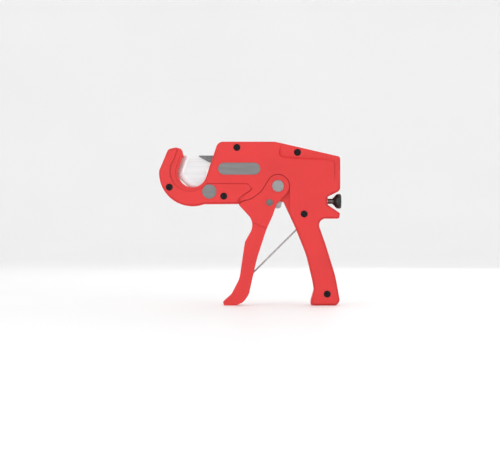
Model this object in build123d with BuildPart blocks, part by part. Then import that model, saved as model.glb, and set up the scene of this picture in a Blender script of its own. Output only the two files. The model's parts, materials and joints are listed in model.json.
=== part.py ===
from build123d import *
from math import cos, radians, sin, tan
import os

# Ratchet cutter for plastic pipe, standing on its butt and trigger tip.
# X runs from the hook (-X) to the pull knob (+X), Z is up, Y = 0 is the split plane of the housing.
# Side views are drawn in X and Z on planes that face -Y.

# ---- driving dimensions (mm) ----
grip_height = 98.0        # from the floor to the shoulder where the grip meets the body
pivot_rise = 36.9         # trigger pivot above that shoulder
half_width = 13.0         # outer face of one housing half, from the split plane
jaw_radius = 16.2         # seat for the pipe
hook_wall = 21.4          # metal outside the seat
blade_thickness = 2.2
blade_travel = 34.8       # stroke of the blade and its carrier
web_level = 8.5           # floor of the trigger pocket, from the split plane
bay_level = 5.6           # side of the inner bay, from the split plane
wall = 3.2                # thickness of the cast walls
side_gap = 0.3            # side clearance of loose moving pieces
shaft_gap = 0.04          # radial clearance of shafts in their holes
screw_radius = 2.0
screw_head_radius = 3.7
pivot_radius = 3.5
pivot_head_radius = 6.7
rivet_radius = 2.4
rivet_head_radius = 3.85
rod_radius = 2.95
knob_radius = 8.35
wire_radius = 0.9
coil_radius = 4.2         # mean radius of the return spring's turns
tooth_pitch = 3.0
tooth_height = 1.6
plate_thickness = 0.7     # stadium plate and round badge

# ---- levels across the width, from the split plane ----
rim_level = half_width - 1.0      # ledge round the jaw and along the edges
hook_level = half_width + 0.8     # raised band on the hook and the lower beam
top_level = half_width - 3.0      # lowered flat at the upper rear
cheek_inner = web_level + side_gap
cheek_outer = half_width - 0.4
grip_outer = half_width - 2.6
grip_inner = grip_outer - wall
edge_drop = 1.2                   # height of the bevel round the housing
pad_step = 0.4                    # step round each raised face
lip_width = 2.8                   # lower lip along the inside of the jaw
flat_draft = 35                   # degrees, slope of the wall round the upper rear flat
pad_root = 2.0                    # depth to which a raised face reaches into the casting
bar_half = bay_level - side_gap
nose_half = 3.6
nose_bay = nose_half + side_gap
blade_half = blade_thickness / 2
slot_half = blade_half + 0.2
screw_head = 3.0
screw_sunk = 0.6
screw_depth = 8.5
lever_far = 0.0                   # the drive lever lies on the near side of the split plane
lever_near = 4.0
leg_half = 2.6

# ---- places in the side view ----
pivot_x = 31.1
pivot_z = grip_height + pivot_rise
seat_x = -65.6
seat_z = pivot_z + 14.7
hook_radius = jaw_radius + hook_wall
head_radius = 12.8
pocket_gap = 0.5
rod_z = pivot_z - 17.2
body_rear = 101.4
recess_x = 86.8
carrier_top = 34.6                # rises above the pivot
carrier_bottom = 18.1
rack_tip = carrier_bottom - tooth_height
bay_gap = 0.4
blade_rear = -50.5
bar_front = -44.0
bar_rear = 49.0
leg_front = 45.4
leg_bottom = -22.5
rivet_x = pivot_x - 9.5
rivet_z = pivot_z - 18.7
coil_x = 65.5
coil_z = grip_height - 4.9
post_radius = coil_radius - wire_radius - 0.4
post_half = 6.0
reach = 89.0                      # length of the spring's free leg
jaw_lean = 16.7                   # degrees, where the seat runs out into the hook
knob_face = 102.8
badge_x = -46.4
badge_z = pivot_z - 6.3
badge_radius = 8.05
stadium_x = -12.7
stadium_z = pivot_z + 19.5
stadium_length = 47.6
stadium_height = 13.5
hold_x = 4.0
hold_rise = 7.6
drive_x = 33.1
drive_rise = 9.0
pawl_pin_radius = 1.8
blade_pin_places = (-38.0, -20.0)
blade_pin_rise = 27.0
blade_pin_radius = 2.0
spigot_radius = 1.7
cross_radius = 0.8
bush_length = 2.4
bush_wall = 1.3
socket_depth = 1.8
dowel_radius = 1.5

os.makedirs("parts", exist_ok=True)


def up(x, rise):
    """A point of the body, given by its height above the trigger pivot."""
    return (x, pivot_z + rise)


def low(x, share):
    """A point of the grip or trigger, given by its share of the grip's height."""
    return (x, share * grip_height)


# Screws, each with the level of the face round it: hook, beam, top front, top rear, behind the pivot, butt.
screw_places = [
    ((-91.5, seat_z - 16.1), hook_level),
    (up(-30.1, -11.5), hook_level),
    (up(-15.3, 43.5), half_width - 1.9),
    (up(53.1, 38.0), top_level),
    (up(60.6, -31.6), half_width),
    ((86.6, 12.9), half_width),
]
dowel_places = [up(8.0, 43.4), (76.5, 9.0)]


def filled(sketch_points, radii):
    """A closed outline with rounded corners, as a flat face."""
    with BuildSketch() as sketch:
        with BuildLine():
            FilletPolyline(*sketch_points, radius=radii, close=True)
        make_face()
    return sketch.sketch_local


def plain(*points):
    """A closed outline with sharp corners, as a flat face."""
    with BuildSketch() as sketch:
        with BuildLine():
            Polyline(*points, close=True)
        make_face()
    return sketch.sketch_local


def housing_outline():
    """Side outline of the housing: hook, jaw, body, grip and beam."""
    seat_start = (
        seat_x - jaw_radius * cos(radians(jaw_lean)),
        seat_z + jaw_radius * sin(radians(jaw_lean)),
    )
    with BuildSketch() as sketch:
        with BuildLine():
            hook = CenterArc((seat_x, seat_z), hook_radius, 290, -114)
            FilletPolyline(
                hook @ 1,
                up(-92.9, 41.6),
                up(-84.0, 43.6),
                up(-77.6, 41.8),
                up(-75.6, 33.6),
                up(-77.6, 30.3),
                seat_start,
                radius=[5.0, 6.0, 4.0, 1.5, 2.0],
            )
            seat = CenterArc((seat_x, seat_z), jaw_radius, 180 - jaw_lean, 177)
            FilletPolyline(
                seat @ 1,
                up(-36.6, 50.1),
                up(27.5, 50.1),
                up(body_rear, 33.1),
                up(body_rear, -5.2),
                up(recess_x, -12.4),
                up(recess_x, -20.9),
                up(101.2, -30.7),
                up(100.2, -36.9),
                (82.0, grip_height),
                low(76.5, 0.944),
                low(84.5, 0.714),
                low(96.0, 0.337),
                (101.9, 0),
                (68.1, 0),
                low(68.3, 0.061),
                low(71.8, 0.185),
                low(70.0, 0.29),
                low(63.2, 0.582),
                low(51.2, 0.888),
                up(37.6, -18.2),
                up(22.5, -14.3),
                up(15.0, -16.4),
                up(-9.0, -18.1),
                up(-13.0, -20.3),
                hook @ 0,
                radius=[8.0, 14.0, 3.5, 6.0, 2.5, 2.5, 2.4, 2.2, 7.0, 7.0, 60.0, 90.0, 6.5]
                + [2.0, 2.5, 10.0, 50.0, 90.0, 120.0, 1.0, 3.0, 3.0, 2.0, 2.0],
            )
        make_face()
    return sketch.sketch_local


def trigger_outline():
    """Side outline of the trigger, cheeks and grip together."""
    with BuildSketch() as sketch:
        with BuildLine():
            head = CenterArc((pivot_x, pivot_z), head_radius, 136.6, -186.6)
            FilletPolyline(
                head @ 1,
                up(29.6, -20.4),
                low(24.8, 1.027),
                low(18.5, 0.888),
                low(7.3, 0.541),
                low(1.0, 0.255),
                low(-1.8, 0.125),
                low(-8.0, 0.037),
                (-16.5, 0),
                (-30.0, 0),
                low(-31.0, 0.042),
                low(-21.5, 0.128),
                low(-12.5, 0.306),
                low(-6.3, 0.73),
                low(2.0, 0.883),
                low(2.0, 0.99),
                up(-13.6, -20.9),
                up(-8.8, -17.6),
                up(1.9, -14.5),
                up(12.6, -6.3),
                head @ 0,
                radius=[6.0, 30.0, 40.0, 120.0, 40.0, 15.0, 10.0, 6.0, 1.5, 1.8]
                + [10.0, 30.0, 12.0, 17.0, 15.0, 1.2, 2.5, 12.0, 20.0],
            )
        make_face()
    return sketch.sketch_local


housing_face = housing_outline()
trigger_face = trigger_outline()


def body_pad_face():
    """The main raised face: the outline less its rim, the hook band and the upper rear flat."""
    with BuildSketch() as sketch:
        add(housing_face)
        offset(amount=-1.5)
        add(
            plain(
                (-120, -5), up(-120, 60), up(-44.0, 60), up(-45.0, 38), up(-49.6, 25), up(-49.6, 2.5),
                up(-3.6, 2.5), up(1.5, -3.1), up(-0.5, -5.4), up(-6.2, -9.6), up(-14.7, -19), (-14.7, -5),
            ),
            mode=Mode.SUBTRACT,
        )
    return sketch.sketch_local


def hook_pad_face():
    """The raised band on the hook and the lower beam, outside the ledge round the jaw."""
    with BuildSketch() as sketch:
        add(housing_face)
        offset(amount=-1.5)
        add(
            filled(
                [
                    (-115, 90), up(-14.7, -45), up(-14.7, -19), up(-11.8, -12.1), up(-0.5, -5.4),
                    up(2.0, -3.0), up(-3.2, 2.5), up(-52, 2.5), up(-88, 6), up(-90.4, 16.1),
                    up(-86.1, 30.4), up(-82.6, 41), up(-82.6, 55), up(-115, 55),
                ],
                [1.0, 1.0, 3.0, 6.0, 1.5, 3.0, 3.6, 1.0, 1.0, 4.0, 4.0, 1.0, 1.0, 1.0],
            ),
            mode=Mode.INTERSECT,
        )
        with Locations((seat_x - 2.4, seat_z + 2.0)):
            Circle(jaw_radius + 6.6, mode=Mode.SUBTRACT)
    return sketch.sketch_local


def jaw_lip_face():
    """Lower lip along the inside of the hook and under the seat."""
    with BuildSketch() as sketch:
        with Locations((seat_x, seat_z)):
            Circle(jaw_radius + lip_width)
        add(
            plain(
                (seat_x - jaw_radius - lip_width, seat_z - 30), (seat_x + 6, seat_z - 30),
                (seat_x + 6, seat_z + 3.0), (seat_x - jaw_radius - lip_width, seat_z + 3.0),
            ),
            mode=Mode.INTERSECT,
        )
        add(
            plain(
                (seat_x - jaw_radius - lip_width, seat_z), (seat_x, seat_z), up(-68.0, 34.0),
                up(-79.4, 34.0), (seat_x - jaw_radius - lip_width, seat_z + 3.5),
            )
        )
    return sketch.sketch_local


def pocket_face():
    """Room for one trigger cheek, at rest and swung back towards the grip."""
    with BuildSketch() as sketch:
        add(trigger_face)
        offset(amount=pocket_gap)
        add(
            filled(
                [
                    up(pivot_x, 0), up(pivot_x + head_radius + pocket_gap, 0),
                    up(pivot_x + head_radius + pocket_gap, -45.0), up(18.0, -45.0), up(18.0, -8.0),
                ],
                [0.2, 0.2, 1.0, 1.0, 0.5],
            )
        )
    return sketch.sketch_local


def bay_face():
    """Inner bay for the carrier bar, its rear leg, the drive lever and the pawls."""
    with BuildSketch() as sketch:
        add(
            plain(
                up(bar_front - 2.0, rack_tip - bay_gap), up(-11.0, rack_tip - bay_gap), up(-11.0, 3.0),
                up(13.5, -4.0), up(13.5, -30.0), up(48.0, -30.0), up(48.0, leg_bottom - bay_gap),
                up(recess_x - 2.5, leg_bottom - bay_gap), up(recess_x - 2.5, carrier_top + bay_gap),
                up(bar_front - 2.0, carrier_top + bay_gap),
            )
        )
    return sketch.sketch_local


def grip_bay_face():
    """Hollow of the grip, behind its walls."""
    return filled(
        [
            low(61.5, 0.83), low(71.5, 0.83), low(79.0, 0.70), low(90.0, 0.34), low(91.5, 0.22),
            low(76.0, 0.22), low(75.5, 0.31), low(68.0, 0.60),
        ],
        [2.0, 3.0, 8.0, 8.0, 2.0, 2.0, 6.0, 8.0],
    )


def cut_through(face, start, depth):
    """Cut a face outward from a level, in the half that is being made."""
    with BuildSketch(Plane.XZ.offset(start)) as cut:
        add(face)
    extrude(cut.sketch, amount=depth, mode=Mode.SUBTRACT)


def round_hole(x, z, radius, start, depth):
    """Cut a round hole across the width from a level."""
    with BuildSketch(Plane.XZ.offset(start)) as hole:
        with Locations((x, z)):
            Circle(radius)
    extrude(hole.sketch, amount=depth, mode=Mode.SUBTRACT)


def raise_pad(face, base, top):
    """Raise a face from a base level to a top level, with a small step round its edge."""
    with BuildSketch(Plane.XZ.offset(base - pad_root)) as foot:
        add(face)
    extrude(foot.sketch, amount=top - base + pad_root - pad_step)
    with BuildSketch(Plane.XZ.offset(base - pad_root)) as crown:
        add(face)
        offset(amount=-pad_step)
    extrude(crown.sketch, amount=top - base + pad_root)


def housing_half(near):
    """One cast half, from the split plane towards -Y."""
    with BuildPart() as half:
        with BuildSketch(Plane.XZ):
            add(housing_face)
        extrude(amount=rim_level - edge_drop)
        with BuildSketch(Plane.XZ.offset(rim_level - edge_drop)):
            add(housing_face)
        extrude(amount=edge_drop, taper=38)
        raise_pad(body_pad_face(), rim_level, half_width)
        raise_pad(hook_pad_face(), rim_level, hook_level)

        # Sloping band along the top, and the lowered flat behind it.
        with BuildSketch(Plane.YZ.offset(-48)):
            with BuildLine():
                Polyline(
                    (-half_width, pivot_z + 37.9),
                    (-half_width - 3, pivot_z + 37.9),
                    (-half_width - 3, pivot_z + 54),
                    (-half_width + 5.4, pivot_z + 54),
                    close=True,
                )
            make_face()
        extrude(amount=82.1, mode=Mode.SUBTRACT)
        rear_flat = filled(
            [
                up(34.0, 60), up(34.0, 33.4), up(94.6, 30.4), up(98.9, 26.0), up(98.9, -4.0),
                up(112, -4.0), up(112, 60),
            ],
            [1.0, 4.0, 5.0, 2.0, 0.5, 1.0, 1.0],
        )
        with BuildSketch(Plane.XZ.offset(top_level)) as flat:
            add(rear_flat)
        extrude(flat.sketch, amount=half_width - top_level + 1, taper=-flat_draft, mode=Mode.SUBTRACT)
        cut_through(jaw_lip_face(), rim_level - 0.9, 4.0)

        # Trigger pocket, inner bays, blade slot and rod passage.
        cut_through(pocket_face(), web_level, 8.0)
        cut_through(bay_face(), 0, bay_level)
        nose_room = plain(
            up(-60.0, rack_tip - bay_gap), up(bar_front, rack_tip - bay_gap),
            up(bar_front, carrier_top + bay_gap), up(-60.0, carrier_top + bay_gap),
        )
        cut_through(nose_room, 0, nose_bay)
        blade_room = plain(
            up(-86.6, 12.0), up(-79.6, carrier_top + bay_gap),
            up(-14.0, carrier_top + bay_gap), up(-14.0, -8.4), up(-65.0, -8.4),
        )
        cut_through(blade_room, 0, slot_half)
        cut_through(grip_bay_face(), 0, half_width - wall)
        with BuildSketch(Plane.YZ.offset(recess_x - 6)):
            with Locations((0, rod_z)):
                Circle(rod_radius + bush_wall)
        extrude(amount=10, mode=Mode.SUBTRACT)

        # Return spring: seat for the coil, run for its fixed leg and window for its free leg.
        round_hole(coil_x, coil_z, coil_radius + wire_radius + 0.5, 0, 3.4)
        leg_window = plain(
            (coil_x - 5.0, coil_z + 6.4), (44.0, coil_z - 9.1), (44.0, coil_z - 33.0),
            (coil_x - 9.0, coil_z - 33.0), (coil_x - 1.0, coil_z - 6.0),
        )
        cut_through(leg_window, 0, 1.5)
        fixed_run = plain(
            (coil_x + 3.0, coil_z + 1.0), (coil_x + 5.6, coil_z + 1.0), (coil_x + 8.2, coil_z - 15.0),
            (coil_x + 5.2, coil_z - 15.0),
        )
        cut_through(fixed_run, 0, 3.4)
        round_hole(coil_x, coil_z, post_radius + shaft_gap, 0, post_half)

        # Holes for pins, dowels and screws.
        round_hole(pivot_x, pivot_z, pivot_radius + shaft_gap, 0, half_width + 2)
        round_hole(hold_x, pivot_z + hold_rise, pawl_pin_radius + shaft_gap, bay_level, 2.2)
        for x, z in dowel_places:
            round_hole(x, z, dowel_radius + shaft_gap, 0, 5.0)
        for (x, z), level in screw_places:
            if near:
                round_hole(x, z, screw_radius + shaft_gap, 0, half_width + 2)
                round_hole(x, z, screw_head_radius + 0.3, level - screw_head - screw_sunk, 8)
            else:
                round_hole(x, z, screw_radius + shaft_gap, 0, screw_depth + 0.5)

        # Shallow seats for the stadium plate and the round badge.
        if near:
            with BuildSketch(Plane.XZ.offset(half_width - 0.5)):
                with Locations((stadium_x, stadium_z)):
                    SlotOverall(stadium_length + 0.2, stadium_height + 0.2)
            extrude(amount=4, mode=Mode.SUBTRACT)
            round_hole(badge_x, badge_z, badge_radius + 0.1, hook_level - 0.5, 4)
    return half.part


with BuildPart() as near_housing:
    add(housing_half(True))

with BuildPart() as far_housing:
    add(housing_half(False))
    mirror(about=Plane.XZ, mode=Mode.REPLACE)


def bar_across(face, near_level, far_level):
    """Extrude a side-view face from a near level (-Y) to a far level (+Y)."""
    with BuildSketch(Plane.XZ.offset(-far_level)) as side:
        add(face)
    extrude(side.sketch, amount=near_level + far_level)


def disc(x, z, radius):
    with BuildSketch() as sketch:
        with Locations((x, z)):
            Circle(radius)
    return sketch.sketch_local


# Trigger: two cheeks outside the housing web, and a grip that is open to the rear.
with BuildPart() as trigger:
    bar_across(trigger_face, cheek_outer, cheek_outer)
    front_skin = [
        (-22.0, 8.0), low(-18.0, 0.128), low(-9.0, 0.306), low(-2.7, 0.73), low(5.7, 0.87),
    ]
    upper_room = plain(
        low(5.7, 0.87), low(5.5, 0.99), up(-6.0, -24.5), up(-13.0, -23.6), up(-24.0, -23.6),
        up(-24.0, 30.0), up(60.0, 30.0), low(60.0, 0.87),
    )
    lower_room = plain(*front_skin, low(60.0, 0.87), (60.0, 8.0))
    with BuildSketch(Plane.XZ.offset(-cheek_inner)):
        add(upper_room)
    extrude(amount=2 * cheek_inner, mode=Mode.SUBTRACT)
    with BuildSketch(Plane.XZ.offset(-grip_inner)):
        add(lower_room)
    extrude(amount=2 * grip_inner, mode=Mode.SUBTRACT)
    grip_side = plain(low(-60.0, 1.18), low(5.6, 0.948), low(17.6, 0.899), low(60.0, 0.73), (60, -9), (-60, -9))
    for level in (grip_outer, -cheek_outer - 1):
        with BuildSketch(Plane.XZ.offset(level)):
            add(grip_side)
        extrude(amount=cheek_outer + 1 - grip_outer, mode=Mode.SUBTRACT)
    for x, z, radius in ((pivot_x, pivot_z, pivot_radius), (rivet_x, rivet_z, rivet_radius)):
        with BuildSketch(Plane.XZ.offset(-half_width - 2)):
            with Locations((x, z)):
                Circle(radius + shaft_gap)
        extrude(amount=2 * half_width + 4, mode=Mode.SUBTRACT)


def turned(x, z, *steps):
    """A pin along Y, from (radius, start, end) steps; near side is -Y."""
    for radius, start, end in steps:
        with BuildSketch(Plane.XZ.offset(-end)) as section:
            with Locations((x, z)):
                Circle(radius)
        extrude(section.sketch, amount=end - start)


# Main pivot pin, with its domed near head, and the clip that holds it on the far side.
with BuildPart() as pivot_pin:
    turned(pivot_x, pivot_z, (pivot_radius, -cheek_outer, cheek_outer + 1.6))
    turned(pivot_x, pivot_z, (pivot_head_radius, -cheek_outer - 1.0, -cheek_outer))
    chamfer(pivot_pin.faces().sort_by(Axis.Y)[0].edges(), 0.5)

with BuildPart() as pivot_clip:
    turned(pivot_x, pivot_z, (pivot_head_radius, cheek_outer, cheek_outer + 0.9))
    turned_hole = disc(pivot_x, pivot_z, pivot_radius + shaft_gap)
    with BuildSketch(Plane.XZ.offset(-cheek_outer - 2)):
        add(turned_hole)
    extrude(amount=3, mode=Mode.SUBTRACT)

# Rivet that ties the drive lever to both cheeks.
with BuildPart() as lever_rivet:
    turned(rivet_x, rivet_z, (rivet_radius, -cheek_outer, cheek_outer))
    turned(rivet_x, rivet_z, (rivet_head_radius, -cheek_outer - 0.6, -cheek_outer))
    turned(rivet_x, rivet_z, (rivet_head_radius, cheek_outer, cheek_outer + 0.6))
    chamfer(lever_rivet.faces().sort_by(Axis.Y)[0].edges(), 0.3)
    chamfer(lever_rivet.faces().sort_by(Axis.Y)[-1].edges(), 0.3)

# Steel drive lever: turns with the trigger, carries the drive pawl above the pivot, ends in a round tail.
with BuildPart() as drive_lever:
    with BuildSketch(Plane.XZ.offset(lever_far)):
        with Locations((pivot_x, pivot_z)):
            Circle(7.6)
        with Locations((rivet_x, rivet_z)):
            Circle(5.2)
        with Locations(up(31.2, -21.6)):
            Circle(3.8)
        make_hull()
        with BuildSketch(mode=Mode.PRIVATE) as ear:
            with Locations((pivot_x, pivot_z)):
                Circle(7.6)
            with Locations(up(drive_x, drive_rise)):
                Circle(3.6)
            make_hull()
        add(ear.sketch_local)
        for x, z, radius in (
            (pivot_x, pivot_z, pivot_radius),
            (rivet_x, rivet_z, rivet_radius),
            (drive_x, pivot_z + drive_rise, pawl_pin_radius),
        ):
            with Locations((x, z)):
                Circle(radius + shaft_gap, mode=Mode.SUBTRACT)
    extrude(amount=lever_near)


def pawl(pin_x, pin_rise, tip_x):
    """Side view of a pawl that points forward and up to just under the rack."""
    tip_rise = rack_tip - 0.5
    with BuildSketch() as sketch:
        with BuildLine():
            Polyline(
                up(pin_x - 1.5, pin_rise - 2.9),
                up(tip_x - 0.4, tip_rise - 2.6),
                up(tip_x, tip_rise),
                up(tip_x + 2.6, tip_rise - 0.3),
                up(pin_x + 1.5, pin_rise + 2.9),
                close=True,
            )
        make_face()
        with Locations(up(pin_x, pin_rise)):
            Circle(3.2)
            Circle(pawl_pin_radius + shaft_gap, mode=Mode.SUBTRACT)
    return sketch.sketch_local


with BuildPart() as drive_pawl:
    bar_across(pawl(drive_x, drive_rise, 22.5), -0.2, 3.4)

with BuildPart() as holding_pawl:
    bar_across(pawl(hold_x, hold_rise, -6.2), 3.0, 0.8)

with BuildPart() as drive_pawl_pin:
    turned(drive_x, pivot_z + drive_rise, (pawl_pin_radius, -lever_near, 5.2))

with BuildPart() as holding_pawl_pin:
    turned(hold_x, pivot_z + hold_rise, (pawl_pin_radius, -bay_level - 2.0, bay_level + 2.0))


def coil(x, z, mean, wire, turns, start):
    """Closely wound turns about an axis along Y, as one ribbed ring."""
    pitch = 2 * wire * 0.96
    with BuildSketch(Plane(origin=(x, start, z), x_dir=(1, 0, 0), z_dir=(0, 0, 1))) as rings:
        for turn in range(turns):
            with Locations((mean, wire + turn * pitch)):
                Circle(wire)
    revolve(rings.sketch, axis=Axis((x, 0, z), (0, 1, 0)))


with BuildPart() as drive_pawl_spring:
    coil(drive_x, pivot_z + drive_rise, pawl_pin_radius + 0.55, 0.4, 2, 3.55)

with BuildPart() as holding_pawl_spring:
    coil(hold_x, pivot_z + hold_rise, pawl_pin_radius + 0.65, 0.5, 4, 1.0)

# Blade: pointed, ground on both sides of its two front edges, with a tang inside the carrier.
with BuildPart() as blade:
    with BuildSketch(Plane.XZ):
        with BuildLine():
            Polyline(
                up(-77.4, carrier_top),
                up(-84.5, 12.4),
                up(-64.0, -6.9),
                up(blade_rear, -6.9),
                up(blade_rear, carrier_bottom + 1.0),
                up(-12.0, carrier_bottom + 1.0),
                up(-12.0, carrier_top),
                close=True,
            )
        make_face()
    extrude(amount=blade_half, both=True)
    for side, flat in ((-1, blade.faces().sort_by(Axis.Y)[0]), (1, blade.faces().sort_by(Axis.Y)[-1])):
        ground = flat.edges().sort_by(Axis.X)[0:2]
        chamfer(ground, length=7.5, length2=blade_half - 0.08, reference=flat)
    for x in blade_pin_places:
        with BuildSketch(Plane.XZ.offset(-2)):
            with Locations(up(x, blade_pin_rise)):
                Circle(blade_pin_radius + shaft_gap)
        extrude(amount=4, mode=Mode.SUBTRACT)

# Carrier: nose over the blade, bar with the rack, and the leg down to the pull rod.
with BuildPart() as blade_carrier:
    bar_face = filled(
        [
            up(bar_front, carrier_bottom), up(bar_rear, carrier_bottom), up(bar_rear, carrier_top),
            up(bar_front, carrier_top),
        ],
        [0.5, 0.5, 2.0, 0.5],
    )
    bar_across(bar_face, bar_half, bar_half)
    front_trim = plain(
        up(bar_front - 1, carrier_bottom - 1), up(-12.0, carrier_bottom - 1), up(-12.0, carrier_top + 1),
        up(bar_front - 1, carrier_top + 1),
    )
    for level in (nose_half, -bar_half - 1):
        with BuildSketch(Plane.XZ.offset(level)):
            add(front_trim)
        extrude(amount=bar_half + 1 - nose_half, mode=Mode.SUBTRACT)
    nose = plain(up(bar_front + 1, 26.0), up(-47.8, 27.4), up(-58.0, 33.2), up(-58.6, carrier_top), up(bar_front + 1, carrier_top))
    bar_across(nose, nose_half, 0)
    with BuildSketch(Plane.XZ.offset(-bar_half)):
        with BuildLine():
            tooth_count = 24
            tooth_start = -46.0 + tooth_pitch
            teeth = []
            for tooth in range(tooth_count):
                root = tooth_start + tooth * tooth_pitch
                teeth.append(up(root, carrier_bottom))
                teeth.append(up(root, rack_tip))
                teeth.append(up(root + 0.5, rack_tip))
            last = tooth_start + tooth_count * tooth_pitch
            Polyline(*teeth, up(last, carrier_bottom), up(last, carrier_bottom + 0.5),
                     up(tooth_start, carrier_bottom + 0.5), close=True)
        make_face()
    extrude(amount=2 * bar_half)
    tooth_sides = plain(
        up(-46.0, rack_tip - 1), up(-12.0, rack_tip - 1), up(-12.0, carrier_bottom + 0.4),
        up(-46.0, carrier_bottom + 0.4),
    )
    for level in (nose_half, -bar_half - 1):
        with BuildSketch(Plane.XZ.offset(level)):
            add(tooth_sides)
        extrude(amount=bar_half + 1 - nose_half, mode=Mode.SUBTRACT)
    tang_room = plain(
        up(-60.0, carrier_bottom - 3), up(-11.9, carrier_bottom - 3), up(-11.9, carrier_top + 1),
        up(-60.0, carrier_top + 1),
    )
    with BuildSketch(Plane.XZ.offset(-blade_half - 0.02)):
        add(tang_room)
    extrude(amount=blade_thickness + 0.04, mode=Mode.SUBTRACT)
    leg_face = plain(
        up(leg_front, leg_bottom), up(bar_rear, leg_bottom), up(bar_rear, carrier_bottom + 1),
        up(leg_front, carrier_bottom + 1),
    )
    bar_across(leg_face, leg_half, leg_half)

    with BuildSketch(Plane.YZ.offset(leg_front - 1)):
        with Locations((0, rod_z)):
            Circle(spigot_radius + shaft_gap)
    extrude(amount=bar_rear - leg_front + 2, mode=Mode.SUBTRACT)
    for side in (-1, 1):
        with BuildSketch(Plane.XZ.offset(side * leg_half - 1)):
            with Locations(((leg_front + bar_rear) / 2, rod_z)):
                Circle(cross_radius + shaft_gap)
        extrude(amount=2, mode=Mode.SUBTRACT)
    for x in blade_pin_places:
        with BuildSketch(Plane.XZ.offset(-bar_half - 1)):
            with Locations(up(x, blade_pin_rise)):
                Circle(blade_pin_radius + shaft_gap)
        extrude(amount=2 * bar_half + 2, mode=Mode.SUBTRACT)

with BuildPart() as blade_pins:
    for x in blade_pin_places:
        turned(x, pivot_z + blade_pin_rise, (blade_pin_radius, -nose_half, nose_half))

# Pull rod with a spigot riveted in the carrier's leg, its cross pin, its bush and the mushroom knob.
with BuildPart() as pull_rod:
    for radius, start, end in (
        (spigot_radius, leg_front + 0.2, bar_rear),
        (rod_radius, bar_rear, knob_face - 4.8),
    ):
        with BuildSketch(Plane.YZ.offset(start)) as section:
            with Locations((0, rod_z)):
                Circle(radius)
        extrude(amount=end - start)
    with BuildSketch(Plane.XZ.offset(-leg_half)):
        with Locations(((leg_front + bar_rear) / 2, rod_z)):
            Circle(cross_radius + shaft_gap)
    extrude(amount=2 * leg_half, mode=Mode.SUBTRACT)

with BuildPart() as rod_cross_pin:
    turned((leg_front + bar_rear) / 2, rod_z, (cross_radius, -leg_half, leg_half))

with BuildPart() as rod_bush:
    with BuildSketch(Plane.YZ.offset(recess_x - bush_length)):
        with Locations((0, rod_z)):
            Circle(rod_radius + bush_wall - shaft_gap)
            Circle(rod_radius + shaft_gap, mode=Mode.SUBTRACT)
    extrude(amount=bush_length + 0.8)

with BuildPart() as pull_knob:
    with BuildSketch(Plane.XZ):
        with BuildLine():
            Polyline(
                (knob_face - 9.4, rod_z + rod_radius + 0.02),
                (knob_face - 9.4, rod_z + 4.3),
                (knob_face - 8.4, rod_z + 4.3),
            )
            Spline(
                (knob_face - 8.4, rod_z + 4.3),
                (knob_face - 6.3, rod_z + 6.9),
                (knob_face - 3.4, rod_z + knob_radius),
                tangents=[(0.6, 1), (1, 0)],
            )
            Polyline(
                (knob_face - 3.4, rod_z + knob_radius),
                (knob_face - 1.0, rod_z + knob_radius),
                (knob_face, rod_z + knob_radius - 1.0),
                (knob_face, rod_z),
                (knob_face - 4.7, rod_z),
                (knob_face - 4.7, rod_z + rod_radius + 0.02),
                (knob_face - 9.4, rod_z + rod_radius + 0.02),
            )
        make_face()
    revolve(axis=Axis((0, 0, rod_z), (1, 0, 0)))

# Return spring: turns on a post on both sides of the free leg, one fixed leg in the grip.
with BuildPart() as spring_post:
    turned(coil_x, coil_z, (post_radius, -post_half, post_half))

with BuildPart() as return_spring:
    coil(coil_x, coil_z, coil_radius, wire_radius, 1, wire_radius + 0.1)
    fixed_start = Vector(coil_x + coil_radius, 2 * wire_radius + 0.1, coil_z)
    fixed_end = Vector(coil_x + 6.6, 2 * wire_radius + 0.1, coil_z - 14.0)
    with BuildSketch(Plane(origin=fixed_start, z_dir=fixed_end - fixed_start)):
        Circle(wire_radius)
    extrude(amount=(fixed_end - fixed_start).length)

with BuildPart() as spring_leg:
    coil(coil_x, coil_z, coil_radius, wire_radius, 1, -wire_radius)
    leg_root = Vector(coil_x - coil_radius * sin(radians(45)), 0, coil_z + coil_radius * cos(radians(45)))
    with BuildSketch(Plane(origin=leg_root + Vector(1, 0, 1), z_dir=(-1, 0, -1))):
        Circle(wire_radius)
    extrude(amount=reach + Vector(1, 0, 1).length)

# Case screws with six-lobed sockets, and the dowels that line up the halves.
with BuildPart() as case_screws:
    for (x, z), level in screw_places:
        seat = level - screw_head - screw_sunk
        turned(x, z, (screw_radius, -seat, screw_depth), (screw_head_radius, -seat - screw_head, -seat))
        with BuildSketch(Plane.XZ.offset(seat + screw_head - socket_depth)) as socket:
            with Locations((x, z)):
                Circle(1.45)
                with PolarLocations(1.45, 6):
                    Circle(0.5)
        extrude(socket.sketch, amount=socket_depth, mode=Mode.SUBTRACT)

with BuildPart() as locating_dowels:
    for x, z in dowel_places:
        turned(x, z, (dowel_radius, -4.9, 4.9))

# Bare plates on the near side.
with BuildPart() as stadium_plate:
    with BuildSketch(Plane.XZ.offset(half_width - 0.5)):
        with Locations((stadium_x, stadium_z)):
            SlotOverall(stadium_length, stadium_height)
    extrude(amount=plate_thickness)

with BuildPart() as round_badge:
    turned(badge_x, badge_z, (badge_radius, -hook_level + 0.5 - plate_thickness, -hook_level + 0.5))

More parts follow.
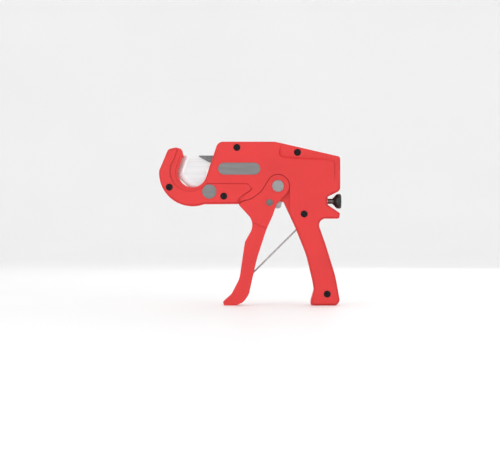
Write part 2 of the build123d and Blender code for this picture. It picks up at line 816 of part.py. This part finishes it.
pieces = {
    "near_housing": near_housing,
    "far_housing": far_housing,
    "case_screws": case_screws,
    "locating_dowels": locating_dowels,
    "stadium_plate": stadium_plate,
    "round_badge": round_badge,
    "trigger": trigger,
    "pivot_pin": pivot_pin,
    "pivot_clip": pivot_clip,
    "lever_rivet": lever_rivet,
    "drive_lever": drive_lever,
    "drive_pawl": drive_pawl,
    "drive_pawl_pin": drive_pawl_pin,
    "drive_pawl_spring": drive_pawl_spring,
    "holding_pawl": holding_pawl,
    "holding_pawl_pin": holding_pawl_pin,
    "holding_pawl_spring": holding_pawl_spring,
    "blade": blade,
    "blade_carrier": blade_carrier,
    "blade_pins": blade_pins,
    "pull_rod": pull_rod,
    "rod_cross_pin": rod_cross_pin,
    "rod_bush": rod_bush,
    "pull_knob": pull_knob,
    "return_spring": return_spring,
    "spring_leg": spring_leg,
    "spring_post": spring_post,
}
for name, piece in pieces.items():
    piece.part.label = name
    export_step(piece.part, "parts/" + name + ".step")
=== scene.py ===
import json
import math

import bpy
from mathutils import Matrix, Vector


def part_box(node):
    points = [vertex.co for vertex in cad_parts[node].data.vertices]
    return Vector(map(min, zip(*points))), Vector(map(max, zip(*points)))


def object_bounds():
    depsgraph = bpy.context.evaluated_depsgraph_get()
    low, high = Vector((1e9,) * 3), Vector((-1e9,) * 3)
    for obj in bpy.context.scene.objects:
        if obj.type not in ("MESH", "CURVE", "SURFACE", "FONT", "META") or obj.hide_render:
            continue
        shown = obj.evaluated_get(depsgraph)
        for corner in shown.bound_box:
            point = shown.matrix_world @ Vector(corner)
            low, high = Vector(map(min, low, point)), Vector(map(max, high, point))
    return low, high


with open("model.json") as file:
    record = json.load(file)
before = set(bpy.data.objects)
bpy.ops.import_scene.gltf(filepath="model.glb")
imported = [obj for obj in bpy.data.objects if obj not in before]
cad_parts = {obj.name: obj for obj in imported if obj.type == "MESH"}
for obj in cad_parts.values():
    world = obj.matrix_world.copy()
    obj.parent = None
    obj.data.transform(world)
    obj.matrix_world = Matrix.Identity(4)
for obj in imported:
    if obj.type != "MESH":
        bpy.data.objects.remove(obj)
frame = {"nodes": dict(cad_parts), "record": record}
cad_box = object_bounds()
nodes = frame["nodes"]

# ---- sizes, in metres, from the frame ----
low_corner, high_corner = (Vector(corner) for corner in cad_box)
height = high_corner.z - low_corner.z
view_share = 0.491        # height of the picture's centre, as a share of the tool's
centre_z = low_corner.z + view_share * height
pin_low, pin_high = (Vector(corner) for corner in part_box("pivot_pin"))
rivet_low, rivet_high = (Vector(corner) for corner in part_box("lever_rivet"))


# ---- materials ----
class Finish:
    """A Principled material whose colour, roughness and bump come from procedural nodes."""

    def __init__(self, name, colour, rough, metal=0.0, coat=0.0, edge=0.0004):
        self.material = bpy.data.materials.new(name)
        self.material.use_nodes = True
        self.tree = self.material.node_tree
        self.shader = self.tree.nodes["Principled BSDF"]
        self.shader.inputs["Metallic"].default_value = metal
        self.shader.inputs["Coat Weight"].default_value = coat
        self.shader.inputs["Coat Roughness"].default_value = 0.25
        self.colour = colour
        self.rough = rough
        self.place = self.tree.nodes.new("ShaderNodeTexCoord").outputs["Object"]
        soft = self.tree.nodes.new("ShaderNodeBevel")
        soft.samples = 4
        soft.inputs["Radius"].default_value = edge
        self.normal = soft.outputs["Normal"]

    def link(self, start, end):
        self.tree.links.new(start, end)

    def noise(self, scale, detail=3.0, stretch=(1, 1, 1)):
        mapping = self.tree.nodes.new("ShaderNodeMapping")
        mapping.inputs["Scale"].default_value = stretch
        self.link(self.place, mapping.inputs["Vector"])
        texture = self.tree.nodes.new("ShaderNodeTexNoise")
        texture.inputs["Scale"].default_value = scale
        texture.inputs["Detail"].default_value = detail
        self.link(mapping.outputs["Vector"], texture.inputs["Vector"])
        return texture.outputs["Fac"]

    def rings(self, centre, scale):
        """Fine turned rings about an axis along Y through centre."""
        mapping = self.tree.nodes.new("ShaderNodeMapping")
        mapping.inputs["Location"].default_value = (-centre.x, 0, -centre.z)
        mapping.inputs["Scale"].default_value = (1, 0, 1)
        self.link(self.place, mapping.inputs["Vector"])
        wave = self.tree.nodes.new("ShaderNodeTexWave")
        wave.wave_type = "RINGS"
        wave.rings_direction = "SPHERICAL"
        wave.inputs["Scale"].default_value = scale
        wave.inputs["Distortion"].default_value = 0.6
        self.link(mapping.outputs["Vector"], wave.inputs["Vector"])
        return wave.outputs["Fac"]

    def spread(self, source, low, high):
        ramp = self.tree.nodes.new("ShaderNodeMapRange")
        ramp.inputs["To Min"].default_value = low
        ramp.inputs["To Max"].default_value = high
        self.link(source, ramp.inputs["Value"])
        return ramp.outputs["Result"]

    def tint(self, source, dark, light):
        """Colour that runs between two shades of the base as source goes from 0.3 to 0.7."""
        ramp = self.tree.nodes.new("ShaderNodeValToRGB")
        for stop, place, shade in zip(ramp.color_ramp.elements, (0.3, 0.7), (dark, light)):
            stop.position = place
            stop.color = tuple(min(1.0, shade * part) for part in self.colour) + (1,)
        self.link(source, ramp.inputs["Fac"])
        self.link(ramp.outputs["Color"], self.shader.inputs["Base Color"])

    def roughness(self, source, spread):
        varied = self.spread(source, self.rough - spread, self.rough + spread)
        self.link(varied, self.shader.inputs["Roughness"])

    def bump(self, source, distance, strength=1.0):
        node = self.tree.nodes.new("ShaderNodeBump")
        node.inputs["Strength"].default_value = strength
        node.inputs["Distance"].default_value = distance
        self.link(source, node.inputs["Height"])
        self.link(self.normal, node.inputs["Normal"])
        self.normal = node.outputs["Normal"]

    def done(self):
        self.link(self.normal, self.shader.inputs["Normal"])
        return self.material


def powder_coat():
    """Satin red coat: fine orange peel, slight cloudiness, a soft shine."""
    coat = Finish("red_powder_coat", (0.72, 0.026, 0.026), 0.42, coat=0.05, edge=0.0007)
    coat.tint(coat.noise(28, 4), 0.95, 1.04)
    coat.roughness(coat.noise(160, 3), 0.06)
    coat.bump(coat.noise(1500, 3), 0.00004, 0.35)
    coat.bump(coat.noise(420, 2), 0.00006, 0.25)
    return coat.done()


def ground_blade():
    """Bright steel with grinding lines along the blade."""
    steel = Finish("ground_blade", (0.86, 0.86, 0.87), 0.34, metal=0.85, edge=0.0001)
    grain = steel.noise(260, 4, (0.06, 1, 1.6))
    steel.tint(grain, 0.92, 1.04)
    steel.roughness(grain, 0.08)
    steel.bump(grain, 0.00002, 0.3)
    return steel.done()


def turned_steel(name, colour, centre, rough=0.38):
    """Steel faced on a lathe, with rings round its centre."""
    steel = Finish(name, colour, rough, metal=0.9, edge=0.0003)
    rings = steel.rings(centre, 900)
    steel.tint(steel.noise(300, 3), 0.88, 1.08)
    steel.roughness(rings, 0.08)
    steel.bump(rings, 0.00002, 0.4)
    return steel.done()


def plain_metal(name, colour, rough, scale, stretch=(1, 1, 1)):
    """Drawn or burnished metal with a fine grain."""
    metal = Finish(name, colour, rough, metal=0.9, edge=0.00015)
    grain = metal.noise(scale, 4, stretch)
    metal.tint(grain, 0.82, 1.12)
    metal.roughness(grain, 0.1)
    metal.bump(grain, 0.00002, 0.4)
    return metal.done()


def moulded_plastic():
    """Black moulded plastic with a fine spark grain."""
    plastic = Finish("black_plastic", (0.018, 0.018, 0.019), 0.42, edge=0.0005)
    plastic.tint(plastic.noise(200, 3), 0.8, 1.25)
    plastic.roughness(plastic.noise(700, 2), 0.08)
    plastic.bump(plastic.noise(1800, 3), 0.00005, 0.4)
    return plastic.done()


def grey_plate():
    """Bare grey lacquered plate with a fine brushed grain."""
    plate = Finish("grey_plate", (0.21, 0.205, 0.205), 0.45, metal=0.2, edge=0.0002)
    grain = plate.noise(300, 3, (0.08, 1, 1))
    plate.tint(grain, 0.9, 1.1)
    plate.roughness(grain, 0.07)
    plate.bump(grain, 0.00002, 0.4)
    return plate.done()


def middle(low, high):
    return (low + high) / 2


finishes = {
    "red_coat": powder_coat(),
    "blade_steel": ground_blade(),
    "pin_steel": turned_steel("pivot_steel", (0.36, 0.355, 0.36), middle(pin_low, pin_high)),
    "rivet": turned_steel("rivet_steel", (0.19, 0.19, 0.185), middle(rivet_low, rivet_high), 0.42),
    "dark_steel": plain_metal("burnished_steel", (0.2, 0.2, 0.205), 0.4, 350),
    "black_steel": plain_metal("black_oxide", (0.022, 0.022, 0.024), 0.45, 900),
    "steel": plain_metal("plain_steel", (0.5, 0.5, 0.51), 0.35, 300, (0.2, 1, 1)),
    "spring_steel": plain_metal("spring_wire", (0.42, 0.42, 0.43), 0.3, 500, (1, 1, 0.2)),
    "brass": plain_metal("turned_brass", (0.72, 0.5, 0.22), 0.35, 400),
    "grey_plate": grey_plate(),
    "black_plastic": moulded_plastic(),
}
node_slots = {entry["node"]: entry["material_slot"] for entry in frame["record"]["subparts"]}
node_slots["lever_rivet"] = "rivet"
for name, node in nodes.items():
    node.data.materials.clear()
    node.data.materials.append(finishes[node_slots[name]])


bpy.context.scene.view_settings.view_transform = "Standard"

# ---- camera ----
camera_data = bpy.data.cameras.new("camera")
camera_data.sensor_width = 36
camera_data.lens = 150
camera = bpy.data.objects.new("camera", camera_data)
bpy.context.collection.objects.link(camera)
picture_width = 0.567     # metres across the picture at the tool
shift_left = 0.0005
distance = picture_width * camera_data.lens / camera_data.sensor_width
camera.location = (-shift_left, -distance, centre_z)
camera.rotation_euler = (math.radians(90), 0, 0)
bpy.context.scene.camera = camera


# ---- floor and light ----
def bowl():
    """Pale floor that turns up into a low wall all round, so that no view shows an edge."""
    flat, bend, rim, around = 3.2, 1.2, 2.6, 96
    profile = [(0.0, 0.0), (0.5 * flat, 0.0)]
    for step in range(17):
        angle = math.radians(90 * step / 16)
        profile.append((flat + bend * math.sin(angle), bend - bend * math.cos(angle)))
    profile.append((flat + bend, rim))
    verts = []
    for radius, rise in profile:
        for step in range(around):
            turn = 2 * math.pi * step / around
            verts.append((radius * math.cos(turn), radius * math.sin(turn), rise))
    faces = []
    for row in range(len(profile) - 1):
        for step in range(around):
            after = (step + 1) % around
            start = row * around
            above = start + around
            faces.append((start + step, start + after, above + after, above + step))
    mesh = bpy.data.meshes.new("floor")
    mesh.from_pydata(verts, [], faces)
    mesh.shade_smooth()
    surface = Finish("pale_floor", (0.93, 0.93, 0.93), 0.8, edge=0.0001)
    surface.tint(surface.noise(3, 2), 0.99, 1.01)
    mesh.materials.append(surface.done())
    floor = bpy.data.objects.new("floor", mesh)
    bpy.context.collection.objects.link(floor)


def area_light(name, place, target, size, power):
    data = bpy.data.lights.new(name, "AREA")
    data.shape = "DISK"
    data.size = size
    data.energy = power
    light = bpy.data.objects.new(name, data)
    light.location = place
    light.rotation_euler = (Vector(target) - Vector(place)).to_track_quat("-Z", "Y").to_euler()
    bpy.context.collection.objects.link(light)


bowl()
aim = (0, 0, centre_z)
area_light("key", (-1.1, -1.5, 0.45), aim, 1.0, 7)
area_light("fill", (1.4, -1.3, 1.0), aim, 1.2, 3)
area_light("back", (0.8, 1.6, 0.8), aim, 1.2, 6)

world = bpy.data.worlds.new("world")
world.use_nodes = True
world.node_tree.nodes["Background"].inputs["Color"].default_value = (1, 1, 1, 1)
world.node_tree.nodes["Background"].inputs["Strength"].default_value = 1.0
bpy.context.scene.world = world
